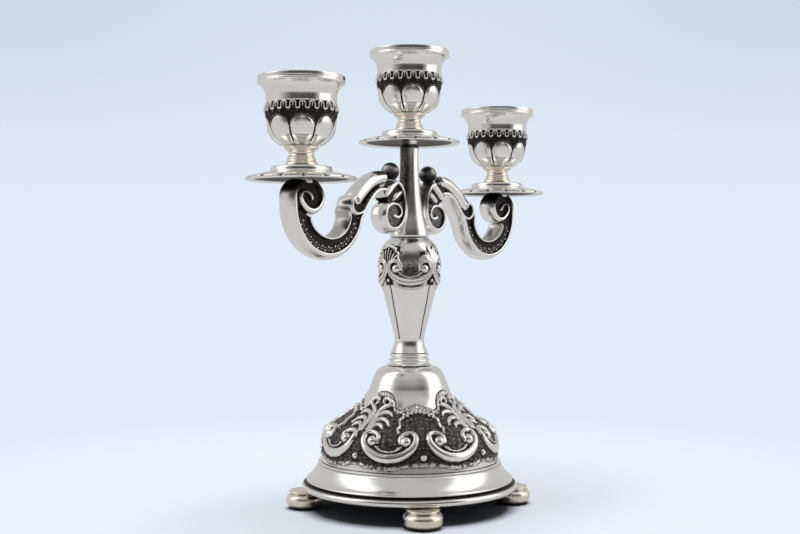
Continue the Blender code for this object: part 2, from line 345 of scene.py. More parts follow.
# Half of a scroll pair, in millimetres from the pair's middle: its path, its half widths and its lifts.
CRESCENT = [
    (0, -8.6), (4.5, -8.0), (8.6, -6.2), (11.6, -3.4), (12.9, 0.0),
    (12.0, 3.0), (9.6, 4.2), (7.0, 3.6), (5.5, 1.6), (5.7, -0.7),
]
CRESCENT_WIDTH = [2.3, 2.25, 2.05, 1.75, 1.45, 1.2, 1.1, 1.1, 1.15, 1.2]
CRESCENT_LIFT = [0.86, 0.86, 0.86, 0.88, 0.92, 0.96, 0.96, 0.9, 0.8, 0.6]
CRESCENT_EYE = (8.3, -0.6)


def scroll_pair(relief, middle, eye_z, scale_x, scale_y, height, hollow=0.0):
    """A crescent with a volute at each end: a smooth band with a bright edge that curls round an eye."""
    scale = (scale_x + scale_y) / 2
    for flip in (-1, 1):
        bend = [(x * scale_x, y * scale_y) for x, y in CRESCENT]
        path = relief.near(middle, eye_z, bend, flip)
        widths = [width * scale for width in CRESCENT_WIDTH]
        lifts = [height * lift for lift in CRESCENT_LIFT]
        relief.stroke(path, widths, lifts, 0.18, hollow)
        eye = [(CRESCENT_EYE[0] * scale_x, CRESCENT_EYE[1] * scale_y)]
        relief.stroke(relief.near(middle, eye_z, eye, flip), 2.45 * scale, height * 1.25)
        inner = [(6.3 * scale_x, -3.0 * scale_y), (3.6 * scale_x, -4.9 * scale_y), (0, -5.6 * scale_y)]
        relief.stroke(relief.near(middle, eye_z, inner, flip), 0.42, height * 0.6)


# Lines on the dome, as rows of (angle, height above the floor).
HEM = [
    (0, 26.8), (6, 26.6), (11, 26.1), (16, 25.3), (22.5, 24.9),
    (30, 25.1), (37, 25.7), (41, 26.6), (45, 27.0),
]
CAP_TOP = [
    (0, 54.2), (3, 53.3), (8, 52.6), (13, 51.9), (18, 50.6),
    (24, 51.6), (27, 54.6), (32, 57.6), (38, 58.8), (45, 59.2),
]
FRONDS = [
    [(43.4, 42.2), (43.5, 46.4), (42.0, 49.6), (38.0, 51.7), (32.5, 52.9), (27.4, 52.8)],
    [(42.6, 41.8), (42.2, 45.4), (39.6, 48.4), (34.0, 49.7), (29.0, 49.5), (25.4, 48.2)],
    [(41.6, 41.4), (40.8, 44.2), (37.6, 46.5), (33.0, 46.9), (28.8, 46.0), (25.4, 44.2)],
    [(40.4, 41.4), (39.2, 43.2), (36.4, 44.4), (33.2, 44.4), (30.0, 43.0)],
]


def dome_relief(profile):
    relief = Relief(profile, 45, DOME_COLUMNS)
    a, z = relief.angle, relief.z
    hem, cap_top = (np.interp(a, *zip(*smooth(line, 6))) for line in (HEM, CAP_TOP))
    ground = step01(-0.15, 0.25, z - hem) * step01(-0.2, 0.2, cap_top - z)

    relief.grains(ground, 1.3, 0.20)
    relief.grains(ground, 0.55, 0.28)
    relief.grains(ground * step01(2.4, 1.2, z - hem), 0.62, 0.55)
    cap_depth = np.interp(a, [0, 14, 20, 26, 34, 45], [2.6, 1.6, 1.0, 2.4, 2.8, 2.2])
    cap = ground * step01(0.3, -0.3, cap_top - z - cap_depth)
    relief.grains(cap, 0.8, 1.0)

    scroll_pair(relief, 22.5, 38.6, 1.0, 1.0, 2.0)
    for side in (0, 45):
        relief.stroke(relief.near(side, 31.0, [(0, 0)]), 1.55, 1.7)

    for i, frond in enumerate(FRONDS):
        widths = [0.35, 0.75, 1.1, 1.25, 1.05, 0.3]
        lifts = [1.0, 1.4, 1.7, 1.9 - 0.1 * i, 1.8, 1.2]
        relief.stroke(relief.on(smooth(frond, 6)), widths, lifts, hollow=0.22)
    comma = smooth([(38.6, 53.2), (41.0, 54.4), (39.0, 55.9), (34.6, 55.7), (31.4, 54.6), (31.0, 53.4)], 6)
    relief.stroke(relief.on(comma), [0.5, 0.8, 1.0, 1.1, 1.1, 0.9], [1.2, 1.6, 1.8, 1.9, 1.9, 1.6])

    arch = [(16.4, 41.4), (17.6, 43.8), (16.4, 46.2), (15.4, 48.2), (11.0, 48.9), (6.5, 49.9), (0.0, 50.6)]
    arch = resample(smooth(arch, 10), 60)
    ripple = np.sin(np.linspace(0, 5.5 * 2 * math.pi, len(arch)))
    arch[:, 0] += 0.95 * ripple
    arch[:, 1] += 0.42 * ripple
    relief.stroke(relief.on(arch), 0.62, 1.8)
    relief.stroke(relief.on([(0, 50.4), (0, 52.6)]), [1.1, 0.5], 1.3)
    cloud = np.sin(a * 0.9 + z * 1.3) * np.sin(z * 1.7 - a * 0.5)
    return relief, relief.darkness(ground * (0.80 + 0.06 * cloud))


def make_dome(look):
    bottom = float(low("base_dome")[2])
    top = float(high("base_dome")[2])
    relief, dark = dome_relief(dome_profile(bottom, top))
    show(relief.shape(dark, DOME_TURN), "base_dome_relief", "stand", look, "darkened_silver", "base_dome")


# ---------------------------------------------------------------- the stem


def stem_profile(bottom, top):
    knop = [(9.4, top), (12.0, 132.9), (13.9, 130.2), (15.1, 126.6), (15.6, 122.4), (15.4, 117.8)]
    vase = [(14.7, 113.6), (13.5, 109.4), (12.2, 104.0), (10.8, 98.4), (9.4, 93.4), (8.4, 89.0)]
    foot = [(7.6, 85.4), (7.45, 83.4), (7.75, 81.4), (8.5, 79.4), (9.3, bottom)]
    return resample(smooth(knop + vase + foot, 12), 200)


def stem_relief(profile):
    """Crescents face the feet, shells face the arms, and leaf plumes stand between."""
    relief = Relief(profile, 90, STEM_COLUMNS)
    b, z = relief.angle, relief.z
    scroll_pair(relief, 45, 120.2, 0.88, 0.82, 1.35, 0.42)
    curl = [(-0.4, 4.6), (1.6, 3.6), (2.0, 1.6), (0.4, 0.2), (-1.3, 1.1), (-0.9, 2.6), (0.4, 2.3)]
    relief.engrave(relief.near(45, 119.4, curl, 1), 0.22, 0.2)
    for side in (0, 90):
        relief.stroke(relief.near(side, 114.0, [(0, 0)]), 0.95, 1.1)
        relief.stroke(relief.near(side, 111.6, [(0, 0.8), (0, -1.6)]), [0.9, 0.2], [0.6, 0.2])

    edge = smooth([(22.5, 121.4), (24.5, 124.0), (21.0, 127.2), (13.0, 129.8), (0.0, 130.9)], 10)
    edge = resample(edge, 40)
    ripple = 0.55 * np.sin(np.linspace(0, 4.5 * 2 * math.pi, len(edge)))
    edge[:, 0] += ripple * 2.2
    edge[:, 1] += ripple * 0.45
    relief.stroke(relief.on(edge), 0.55, 1.3)
    for tip in (0.0, 7.0, 14.0, 20.0):
        rib = [(tip * 0.2, 119.6), (tip * 0.6, 124.0), (tip, 129.4 - 0.16 * tip)]
        relief.stroke(relief.on(rib), [0.25, 0.4, 0.5], [0.5, 0.8, 1.0])

    spine = [(90, 119.6), (88.5, 124.5), (85.5, 128.4), (81.5, 131.0)]
    relief.stroke(relief.on(spine), [0.9, 1.7, 1.6, 0.3], [0.8, 1.2, 1.3, 0.8], hollow=0.3)
    leaf = [(86, 119.4), (80, 123.6), (73.5, 125.8), (66.0, 124.9), (61.0, 122.6)]
    relief.stroke(relief.on(leaf), [0.5, 1.0, 1.15, 0.9, 0.4], [0.9, 1.2, 1.3, 1.2, 0.8], hollow=0.2)
    upper_leaf = [(87, 121.0), (79, 126.6), (72.0, 128.6)]
    relief.stroke(relief.on(upper_leaf), [0.6, 0.8, 0.3], [0.9, 1.1, 0.8], hollow=0.2)

    hem = relief.near(45, 120.2, [(-10.4, -7.8), (-5.5, -9.7), (0, -10.2), (5.5, -9.7), (10.4, -7.8)])
    relief.stroke(hem, [0.3, 0.6, 0.75, 0.6, 0.3], 0.55)
    for side in (0, 90):
        panel_edge = [(side, height) for height in (112.2, 106.0, 98.0, 91.0, 84.6)]
        relief.engrave(relief.on(panel_edge), 0.42, 0.42)

    shell = step01(27, 23, b) * step01(131.6, 130.4, z) * step01(117.5, 119.5, z)
    plume = step01(60, 64, b) * step01(129.5, 127.5, z) * step01(117.5, 119.0, z)
    corner = step01(14.0, 6.0, np.minimum(b, 90 - b)) * step01(110.8, 112.2, z) * step01(121.0, 119.0, z)
    window = step01(20.0, 12.0, np.abs(b - 45)) * step01(113.0, 114.4, z) * step01(126.0, 119.0, z) * 0.75
    ground = np.clip(np.maximum.reduce([shell, plume * 0.9, corner, window]), 0, 1)
    return relief, relief.darkness(ground, 2, 1.8)


def make_stem(look, bright):
    bottom = float(low("stem")[2])
    top = float(high("stem")[2])
    relief, dark = stem_relief(stem_profile(bottom, top))
    show(relief.shape(dark, STEM_TURN), "stem_relief", "stand", look, "darkened_silver", "stem")

    foot = float(low("stem_collar")[2])
    crown = float(high("stem_collar")[2])
    rings = [(4.0, crown), (8.9, crown)] + arc((9.0, crown - 0.9), 0.9, 80, -70, 8)
    rings += [(8.9, 75.0), (8.8, 74.8)] + arc((9.2, 73.6), 1.0, 70, -60, 8)
    rings += [(9.9, 72.4), (10.4, 72.0), (11.2, foot)]
    show(lathe(rings, 128), "stem_collar_rings", "stand", bright, "bright_silver", "stem_collar")


# ---------------------------------------------------------------- materials


class Nodes:
    """Short calls for adding shader nodes. A link is made where a value is a socket."""

    def __init__(self, tree):
        self.tree = tree
        tree.nodes.clear()

    def add(self, kind, values=(), **settings):
        node = self.tree.nodes.new(kind)
        for name, value in settings.items():
            setattr(node, name, value)
        for key, value in dict(values).items():
            if isinstance(value, bpy.types.NodeSocket):
                self.tree.links.new(value, node.inputs[key])
            else:
                node.inputs[key].default_value = value
        return node

    def math(self, operation, a, b=0.0, clamp=False):
        return self.add("ShaderNodeMath", {0: a, 1: b}, operation=operation, use_clamp=clamp).outputs[0]

    def span(self, value, start, stop, at_start=0.0, at_stop=1.0):
        """The smooth climb from at_start to at_stop as the value goes from start to stop."""
        values = {"Value": value, "From Min": start, "From Max": stop, "To Min": at_start, "To Max": at_stop}
        return self.add("ShaderNodeMapRange", values, interpolation_type="SMOOTHSTEP").outputs["Result"]

    def between(self, value, rise, fall):
        """One between two soft edges, each given by where it starts and where it stops, and zero outside."""
        return self.math("MULTIPLY", self.span(value, *rise), self.span(value, *fall))

    def noise(self, where, scale, detail, roughness=0.5):
        values = {"Vector": where, "Scale": scale, "Detail": detail, "Roughness": roughness}
        return self.add("ShaderNodeTexNoise", values).outputs["Fac"]

    def mix(self, factor, a, b):
        return self.add("ShaderNodeMix", {0: factor, 6: a, 7: b}, data_type="RGBA").outputs[2]

    def surface(self, tone, polish, bump, metallic=0.0):
        values = {"Base Color": tone, "Roughness": polish, "Metallic": metallic, "Normal": bump.outputs[0]}
        shader = self.add("ShaderNodeBsdfPrincipled", values)
        self.add("ShaderNodeOutputMaterial", {"Surface": shader.outputs[0]})

    def where(self, stretch=(1, 1, 1)):
        point = self.add("ShaderNodeTexCoord").outputs["Object"]
        return self.add("ShaderNodeMapping", {"Vector": point, "Scale": stretch}).outputs[0]


def rgb(red, green, blue):
    return (red, green, blue, 1.0)


SILVER = rgb(0.93, 0.92, 0.90)
DULL_SILVER = rgb(0.88, 0.87, 0.85)
PALE_WARM_SILVER = rgb(0.93, 0.88, 0.79)
WARM_SILVER = rgb(0.90, 0.80, 0.64)
# Black for oxidised hollows and for painted shade.
OXIDE_AND_SHADE = rgb(0.022, 0.020, 0.019)
STEEL, DULL_STEEL = rgb(0.56, 0.56, 0.57), rgb(0.46, 0.46, 0.47)
BRASS, DULL_BRASS = rgb(0.80, 0.60, 0.30), rgb(0.70, 0.52, 0.26)
PITCH, PALE_PITCH = rgb(0.020, 0.015, 0.011), rgb(0.055, 0.040, 0.030)
SCRATCH_STRENGTH = 0.02
SCRATCH_DEPTH = 0.0004


def new_material(name):
    material = bpy.data.materials.new(name)
    material.use_nodes = True
    return material, Nodes(material.node_tree)


def metal(name, color, tint, roughness, oxide_and_shade=True):
    """Worn metal: patchy tone and polish, fine scratches, and black where the mesh is marked dark: oxidised
    silver in the hollows, and painted shade.
    """
    material, nodes = new_material(name)
    where = nodes.where()
    patches = nodes.noise(where, 55.0, 4.0, 0.6)
    fine = nodes.noise(where, 900.0, 2.0, 0.6)
    hairs = nodes.noise(nodes.where((1500.0, 1500.0, 90.0)), 1.0, 2.0)
    cross = nodes.noise(nodes.where((120.0, 120.0, 1800.0)), 1.0, 2.0)
    tone = nodes.mix(nodes.span(patches, 0.35, 0.75), color, tint)
    polish = nodes.span(patches, 0.3, 0.7, roughness * 0.75, roughness * 1.35)
    polish = nodes.math("ADD", polish, nodes.span(fine, 0.45, 0.8, 0.0, 0.05))
    metallic = 1.0
    if oxide_and_shade:
        dark = nodes.add("ShaderNodeAttribute", attribute_name="dark").outputs["Fac"]
        # The dark marks are oxidised hollows and painted shade on the arms, the column and the buds.
        worn = nodes.math("MULTIPLY", dark, nodes.span(fine, 0.2, 0.85, 1.08, 0.86), clamp=True)
        tone = nodes.mix(nodes.span(worn, 0.08, 0.85), tone, OXIDE_AND_SHADE)
        polish = nodes.math("ADD", polish, nodes.math("MULTIPLY", worn, 0.30))
        metallic = nodes.span(worn, 0.3, 1.0, 1.0, 0.85)
    height = nodes.math("ADD", nodes.math("MULTIPLY", hairs, 0.5), nodes.math("MULTIPLY", cross, 0.4))
    height = nodes.math("ADD", height, nodes.math("MULTIPLY", fine, 0.15))
    values = {"Height": height, "Strength": SCRATCH_STRENGTH, "Distance": SCRATCH_DEPTH}
    nodes.surface(tone, polish, nodes.add("ShaderNodeBump", values), metallic)
    return material


def pitch():
    """The dark brown filling that weights the foot."""
    material, nodes = new_material("cast_pitch")
    lumps = nodes.noise(nodes.where(), 260.0, 6.0, 0.65)
    tone = nodes.mix(lumps, PITCH, PALE_PITCH)
    bump = nodes.add("ShaderNodeBump", {"Height": lumps, "Strength": 0.4, "Distance": 0.0008})
    nodes.surface(tone, nodes.span(lumps, 0.3, 0.7, 0.35, 0.8), bump)
    return material


# ---------------------------------------------------------------- plain turned pieces


def make_rim(look):
    bottom, top = float(low("base_rim")[2]), float(high("base_rim")[2])
    lip = [(45.4, top), (45.9, top - 0.35), (45.8, top - 0.95), (45.75, top - 1.2), (46.25, top - 1.7)]
    slope = [(46.6, 21.0), (48.2, 18.5), (50.0, 16.3), (51.6, 14.9), (51.9, 14.3), (51.4, 13.7)]
    groove = [(50.7, 13.3), (50.7, 12.9)]
    roll = arc((52.15, bottom + 1.95), 1.85, 118, -90, 18)
    inside = [(50.7, bottom), (49.6, 13.4), (47.4, 17.0), (45.2, 20.8), (44.6, 22.3)]
    neck = [(42.3, 22.6), (42.2, top), (44.2, top)]
    line = np.vstack([[(44.2, top)], smooth(lip, 6), smooth(slope, 6), groove, roll, inside, neck])
    height = line[:, 1:2]
    in_groove = np.exp(-(((height - 13.1) / 0.5) ** 2))
    in_groove = in_groove + 0.8 * np.exp(-(((height - top + 1.1) / 0.22) ** 2))
    dark = np.clip(in_groove, 0, 1) * (line[:, :1] > 45.0)
    show(lathe(line, 256, dark=dark), "base_rim_turned", "stand", look, "bright_silver", "base_rim")


# ---------------------------------------------------------------- the arms


BAND_SIDES = 36


def painted_arm_shade(reach, height):
    """Painted shade and reflection: the blackening where an arm meets its pan and its shoulder, and beside
    the column.
    """
    near_pan = step01(148.5, 158.5, height) * step01(64, 70, reach)
    shoulder = step01(164.0, 168.5, height) * step01(24.0, 20.0, reach)
    by_column = step01(14.0, 8.0, reach) * step01(146.0, 154.0, height)
    return np.maximum.reduce([0.93 * near_pan, 0.7 * shoulder, 0.6 * by_column])


def sweep(shape, path, out, back, half_width, edge=2.0, ends=(0, 0), dark_back=0.0, dark_out=0.0):
    """A band along a path of (reach, height) rows, which swells to out on its right and back on its left.

    ends are the lengths over which its two ends round off, and edge squares up the left side.
    """
    path = np.asarray(path, float)
    count = len(path)
    along = lengths(path)[:, None]
    grow = np.ones((count, 1))
    for length, away in zip(ends, (along, along[-1] - along)):
        if length:
            grow = grow * np.sqrt(np.clip(1 - (1 - np.clip(away / length, 0.01, 1)) ** 2, 0, 1))
    tangent = np.gradient(path, axis=0)
    tangent /= np.linalg.norm(tangent, axis=1, keepdims=True)
    turn = np.linspace(0, 2 * math.pi, BAND_SIDES, endpoint=False)[None, :]
    c, s = np.cos(turn), np.sin(turn)
    part = np.linspace(0, 1, count)[:, None]
    squared = np.where(c < 0, 2 / edge, 1.0)
    across = np.where(c < 0, -along_path(back, part), along_path(out, part)) * np.abs(c) ** squared * grow
    y = along_path(half_width, part) * np.sign(s) * np.abs(s) ** squared * grow
    reach = path[:, :1] + tangent[:, 1:2] * across
    height = path[:, 1:2] - tangent[:, :1] * across
    dark = np.maximum(dark_back * step01(0.15, 0.6, -c), dark_out * step01(0.35, 0.85, c))
    # Painted shade: the band is darkened under its pan, at its shoulder and beside the column.
    dark = np.maximum(dark, painted_arm_shade(reach, height))
    shape.grid(np.stack([reach, y + 0 * reach, height], axis=-1), dark, wrap_columns=True, flip=True)


# Lines on the faces of an arm that reaches towards +X, as rows of (reach, height above the floor).
U_CENTER = (64.8, 149.6)
U_RADIUS = 23.0
UNDER_ARCH = [
    (20.5, 157.6), (25.0, 158.2), (28.6, 157.7), (31.8, 156.0),
    (34.6, 153.5), (37.4, 150.5), (39.8, 147.6), (41.4, 145.0),
]
PAN_VOLUTE = [
    (87.6, 154.4), (84.6, 158.0), (79.8, 159.4), (74.9, 159.0),
    (71.4, 156.6), (69.6, 152.9), (71.2, 149.0),
]
PAN_SPIRAL = [
    (74.6, 146.6), (79.2, 146.8), (83.0, 149.6), (84.3, 152.8),
    (82.7, 155.0), (79.6, 154.9), (77.0, 153.0), (76.2, 150.4),
]
KNUCKLE_SCROLL = [
    (37.0, 150.9), (39.8, 148.0), (42.6, 146.5), (45.6, 146.1), (48.0, 147.2),
    (49.2, 149.6), (48.6, 152.4), (46.2, 154.0), (44.3, 152.9), (44.8, 150.9),
]
INNER_RIDGE = [
    (78.4, 144.5), (77.2, 141.0), (74.3, 137.7), (69.5, 135.1), (64.0, 134.1), (58.5, 135.0),
    (54.0, 137.7), (51.6, 141.0), (50.6, 144.2), (50.9, 147.0), (50.0, 149.6),
]
COLUMN_SCROLL = [
    (18.5, 163.4), (13.6, 162.0), (10.5, 159.0), (9.1, 155.4), (8.6, 151.6),
    (8.9, 147.8), (10.3, 144.0), (12.8, 141.2), (16.3, 139.7), (20.0, 139.9),
    (22.8, 142.2), (24.0, 145.6), (23.3, 149.0), (20.0, 151.4), (15.6, 151.6),
    (12.4, 149.6), (12.0, 146.8), (14.2, 144.9), (17.2, 145.4), (18.0, 147.4),
]
ARCH = [
    (21.4, 163.9), (25.5, 164.0), (30.0, 162.7), (34.5, 160.4),
    (38.3, 157.6), (41.8, 154.6), (44.6, 151.8), (46.6, 149.9),
]
UPPER_LEAF = [(13.6, 162.6), (16.8, 161.0), (19.8, 158.6), (22.6, 156.0), (25.6, 154.4)]
LOWER_LEAF = [(10.8, 158.4), (13.6, 156.6), (16.6, 154.4), (19.0, 152.8)]
NECK = [
    (39.0, 149.5), (41.0, 144.5), (46.0, 139.5), (50.8, 140.5),
    (50.4, 147.0), (48.5, 151.5), (44.5, 153.5), (39.0, 149.5),
]
THROAT = [
    (11.0, 160.0), (18.5, 163.0), (25.0, 160.0), (23.5, 155.0),
    (17.0, 152.0), (9.5, 154.0), (11.0, 160.0),
]
VINE_PERIOD = 4.4
# The vine's rows of beads: spacing, offset, place across the channel, size and height.
BEADS = (
    (VINE_PERIOD, 1.1, 0.52, 0.62, 0.8),
    (VINE_PERIOD, 3.3, 0.80, 0.62, 0.8),
    (1.1, 0.0, 0.93, 0.3, 0.35),
)
# Half the depth of an arm, from its middle to its recessed ground and to its raised bands.
GROUND = 3.7
HALF = 5.1


def u_arc(start, stop, count):
    return arc(U_CENTER, U_RADIUS, start, stop, count)


def arm_bands():
    """The raised work of an arm: the bands round the scrolls, the arch and the ridges."""
    shape = Shape()
    outer = smooth(UNDER_ARCH + u_arc(196, 358, 14) + PAN_VOLUTE + PAN_SPIRAL, 10)
    out = [0.8, 1.3, 1.5, 2.0, 2.5, 2.6, 2.7, 2.7, 2.7, 2.7, 2.6, 2.5, 2.4, 2.4, 2.4, 2.3, 1.6, 1.1, 1.1]
    back = [0.8, 1.5, 1.5, 1.2, 0.9, 0.9, 0.9, 0.9, 0.9, 0.9, 0.8, 0.8, 0.8, 0.8, 0.8, 1.4, 1.6, 0.8, 1.3]
    sweep(shape, resample(outer, 330), out, back, HALF, 5, (3.0, 1.6), 0.75)
    knuckle = resample(smooth(KNUCKLE_SCROLL, 10), 110)
    sweep(shape, knuckle, [0.7, 1.0, 1.4, 1.7, 2.1, 2.0, 1.5, 1.0, 0.9], 0.8, HALF + 0.15, 4, (0, 1.2), 0.75)
    ridge = resample(smooth(INNER_RIDGE, 10), 180)
    sweep(shape, ridge, [0.9, 0.9, 0.9, 0.9, 0.9, 1.1, 1.6], [0.8, 0.8, 0.9], HALF, 4, (1.5, 1.6), 0.75, 0.42)
    scroll = resample(smooth(COLUMN_SCROLL, 10), 220)
    out = [1.2, 1.5, 1.3, 1.1, 1.6, 2.4, 2.7, 2.7, 2.6, 2.0, 1.2, 0.9, 1.0, 1.4]
    back = [1.2, 1.2, 1.0, 0.8, 0.8, 0.9, 1.5]
    sweep(shape, scroll, out, back, HALF, 5, (2.5, 1.5), 0.75)
    arch = resample(smooth(ARCH, 12), 120)
    out = [3.3, 3.7, 3.8, 3.8, 3.8, 3.9, 3.9, 3.4]
    back = [3.3, 3.6, 3.8, 3.9, 4.0, 4.1, 4.2, 3.6]
    sweep(shape, arch, out, back, [4.6, 4.75, 4.8, 4.8, 4.7], 2.4, (2.2, 4.0))
    for leaf, wide in ((UPPER_LEAF, [1.4, 2.3, 2.5, 1.9, 0.5]), (LOWER_LEAF, [1.0, 1.9, 1.8, 0.5])):
        sweep(shape, resample(smooth(leaf, 8), 50), wide, wide, HALF - 0.1, 2.6, (2.0, 3.0))
    return shape


def plate(shape, outline, dark=1.0):
    """The recessed ground between bands: on each face, a fan of rings from the outline in to its middle."""
    center = outline.mean(axis=0)
    rings = np.stack([center + (outline - center) * t for t in (1.0, 0.5, 0.01)])
    for side in (-1, 1):
        points = np.stack([rings[..., 0], np.full(rings.shape[:2], side * GROUND), rings[..., 1]], axis=-1)
        shape.grid(points, dark, wrap_columns=True, flip=side > 0)


def vine(shape):
    """The blackened channel round the U, with a beaded vine along it."""
    turn = np.radians(np.linspace(182, 357, 400))
    outer = ellipse(U_CENTER, U_RADIUS - 0.4, U_RADIUS - 0.4, turn)
    inner = ellipse((64.6, 144.4), 13.9, 11.2, turn)
    across = np.linspace(0, 1, 34)[None, :]
    middle = lengths((outer + inner) / 2)[:, None]
    width = np.linalg.norm(outer - inner, axis=1)[:, None]
    place = across * width
    stem_line = 0.66 * width + 0.75 * np.sin(middle * 2 * math.pi / VINE_PERIOD)
    height = 0.45 * np.exp(-(((place - stem_line) / 0.3) ** 2))
    for period, offset, share, size, rise in BEADS:
        from_bead = (middle - offset + period / 2) % period - period / 2
        height += rise * np.exp(-((from_bead / size) ** 2) - (((place - share * width) / size) ** 2))
    fade = step01(0, 6, middle) * step01(0, 4, middle[-1] - middle)
    height = height * fade
    dark = 1 - 0.9 * step01(0.2, 0.6, height)
    reach = inner[:, None, 0] + (outer - inner)[:, None, 0] * across
    z = inner[:, None, 1] + (outer - inner)[:, None, 1] * across
    for side in (-1, 1):
        points = np.stack([reach, side * (GROUND + height), z], axis=-1)
        shape.grid(points, dark, flip=side < 0)


def arm_shape():
    shape = arm_bands()
    volute = smooth(u_arc(350, 360, 2) + PAN_VOLUTE + PAN_SPIRAL[:3], 6)
    plate(shape, volute)
    plate(shape, smooth(COLUMN_SCROLL[3:13], 6), 0.7)
    plate(shape, smooth(NECK, 6))
    plate(shape, smooth(THROAT, 6), 0.85)
    vine(shape)
    return shape


def make_arms(look):
    right = arm_shape()
    for side, shape in (("right", right), ("left", right.mirrored())):
        show(shape, f"arm_{side}_scrolls", "branch", look, "darkened_silver", f"arm_{side}")
        node = f"arm_bud_{side}"
        under, top = float(low(node)[2]), float(high(node)[2])
        middle = (low(node) + high(node)) / 2
        ball = arc((0.0, top - 4.4), 4.5, 88, -48, 16)
        stalk = [(2.5, top - 8.1), (2.3, top - 8.7), (2.7, top - 9.6), (3.6, under)]
        profile = smooth([(0.02, top)] + ball + stalk, 3)
        # The bud's own blackening is half strength at its top; the darkening that grows towards its lower
        # half is painted shade.
        bud = lathe(profile, 64, dark=0.5 + 0.45 * step01(top - 2.5, top - 7.0, profile[:, 1:2]))
        show(bud, f"{node}_ball", "branch", look, "darkened_silver", node, at=(middle[0], 0, 0))


# ---------------------------------------------------------------- the cups


PAN_RISE = 5.3
LOBE_ANGLE = 22.5
LOBE_FOOT, LOBE_TOP = 14.7, 26.9


def bowl_shape():
    """A bowl with eight egg-shaped lobes under a black border of small arches."""
    bottom = [(1.8, 14.55), (6.2, 14.55), (7.5, 14.75), (8.8, 15.4), (10.8, 16.7), (12.8, 18.5), (14.1, 20.8)]
    border = [(14.9, 23.6), (15.4, 26.2), (15.9, 28.4), (16.2, 30.4), (16.0, 32.2), (15.6, 33.1)]
    border += [(14.8, 33.25)]
    line = resample(smooth((bottom + border)[::-1], 10), 150)
    relief = Relief(line, LOBE_ANGLE, 576)
    z = relief.z
    across = np.radians(relief.angle) * relief.radius
    room = np.radians(LOBE_ANGLE) * relief.radius - 0.30
    rise = np.clip((z - 21.5) / (LOBE_TOP - 21.5), 0, 1)
    egg = np.minimum(room, 5.35 * np.sqrt(np.clip(1 - rise**2.3, 0, 1)))
    t = np.clip(across / np.maximum(egg, 0.01), 0, 3)
    lobe = np.where((t < 1) & (z < LOBE_TOP) & (z > LOBE_FOOT), np.clip(1 - t**2.6, 0, 1) ** 0.5, 0)
    lobe = lobe * step01(14.6, 15.4, z) * (1.0 - 0.6 * rise)
    relief.height = 1.15 * lobe
    arch_line = [(0.0, 27.6), (2.4, 27.1), (4.3, 25.7), (5.3, 23.9), (5.8, 22.1)]
    second = [(0.0, 28.4), (2.9, 27.8), (4.8, 26.4), (5.7, 25.0), (6.15, 23.6)]
    for drawn, lift in ((arch_line, 0.62), (second, 0.5)):
        path = [(math.degrees(x / 15.8), relief.rise_at(height)) for x, height in drawn]
        relief.stroke(path, 0.30, lift)
    for middle in (0.0, 15.0):
        for flip in (-1, 1):
            loop = [(0.0, 33.0), (0.8, 32.7), (1.25, 31.8), (1.2, 30.8), (1.6, 29.9), (2.1, 30.1)]
            path = [(middle + flip * math.degrees(x / 16.2), relief.rise_at(height)) for x, height in loop]
            relief.stroke(path, [0.42, 0.42, 0.36, 0.34, 0.38, 0.40], 0.95)
        tooth = [(middle, relief.rise_at(height)) for height in (32.2, 31.6, 30.8)]
        relief.stroke(tooth, [0.42, 0.36, 0.2], 0.8)
    for bead in (7.5, LOBE_ANGLE):
        relief.stroke([(bead, relief.rise_at(28.9))], 0.42, 0.6)
    covered = np.clip(lobe * 3, 0, 1)
    ground = (1 - covered) * step01(15.2, 16.2, z)
    dark = relief.darkness(ground, 2, 1.8) * step01(14.9, 15.6, z)
    shape = relief.shape(dark)
    hollow = [(1.8, 16.3), (6.0, 16.3), (9.6, 16.5), (12.8, 19.2), (14.0, 22.4), (14.6, 27.0), (14.8, 33.25)]
    hollow = smooth(hollow, 6)
    turn = np.linspace(0, 2 * math.pi, 160, endpoint=False)
    reach, height = hollow[:, :1], hollow[:, 1:2] + 0 * turn
    inside = np.stack([reach * np.cos(turn), reach * np.sin(turn), height], axis=-1)
    shape.grid(inside, 0.25, wrap_columns=True, flip=True)
    return shape


def liner_shape():
    """A candle socket with a flared neck and a flat, slightly hollow lip band."""
    lip = [(19.0, 45.95), (19.6, 45.9), (19.92, 45.6), (19.9, 44.6), (19.85, 43.7), (20.1, 43.3)]
    flare = [(20.15, 42.8), (19.75, 42.4), (18.8, 41.9), (17.7, 40.8), (16.9, 39.5), (16.4, 38.1)]
    neck = [(16.18, 36.6), (16.1, 33.45)]
    under = [(14.0, 33.4), (12.55, 33.3), (12.5, 26.0), (12.5, 20.6), (11.7, 19.4), (0.02, 19.4)]
    seat = [(0.02, 20.4), (11.2, 20.4), (11.4, 20.7)]
    socket = [(11.4, 30.0), (11.4, 36.0), (11.8, 38.0)]
    mouth = [(13.2, 40.4), (15.4, 42.6), (17.8, 45.0), (18.5, 45.8)]
    line = np.vstack([smooth(lip + flare + neck, 6), under, seat, smooth(socket + mouth, 5)])
    return lathe(line, 160)


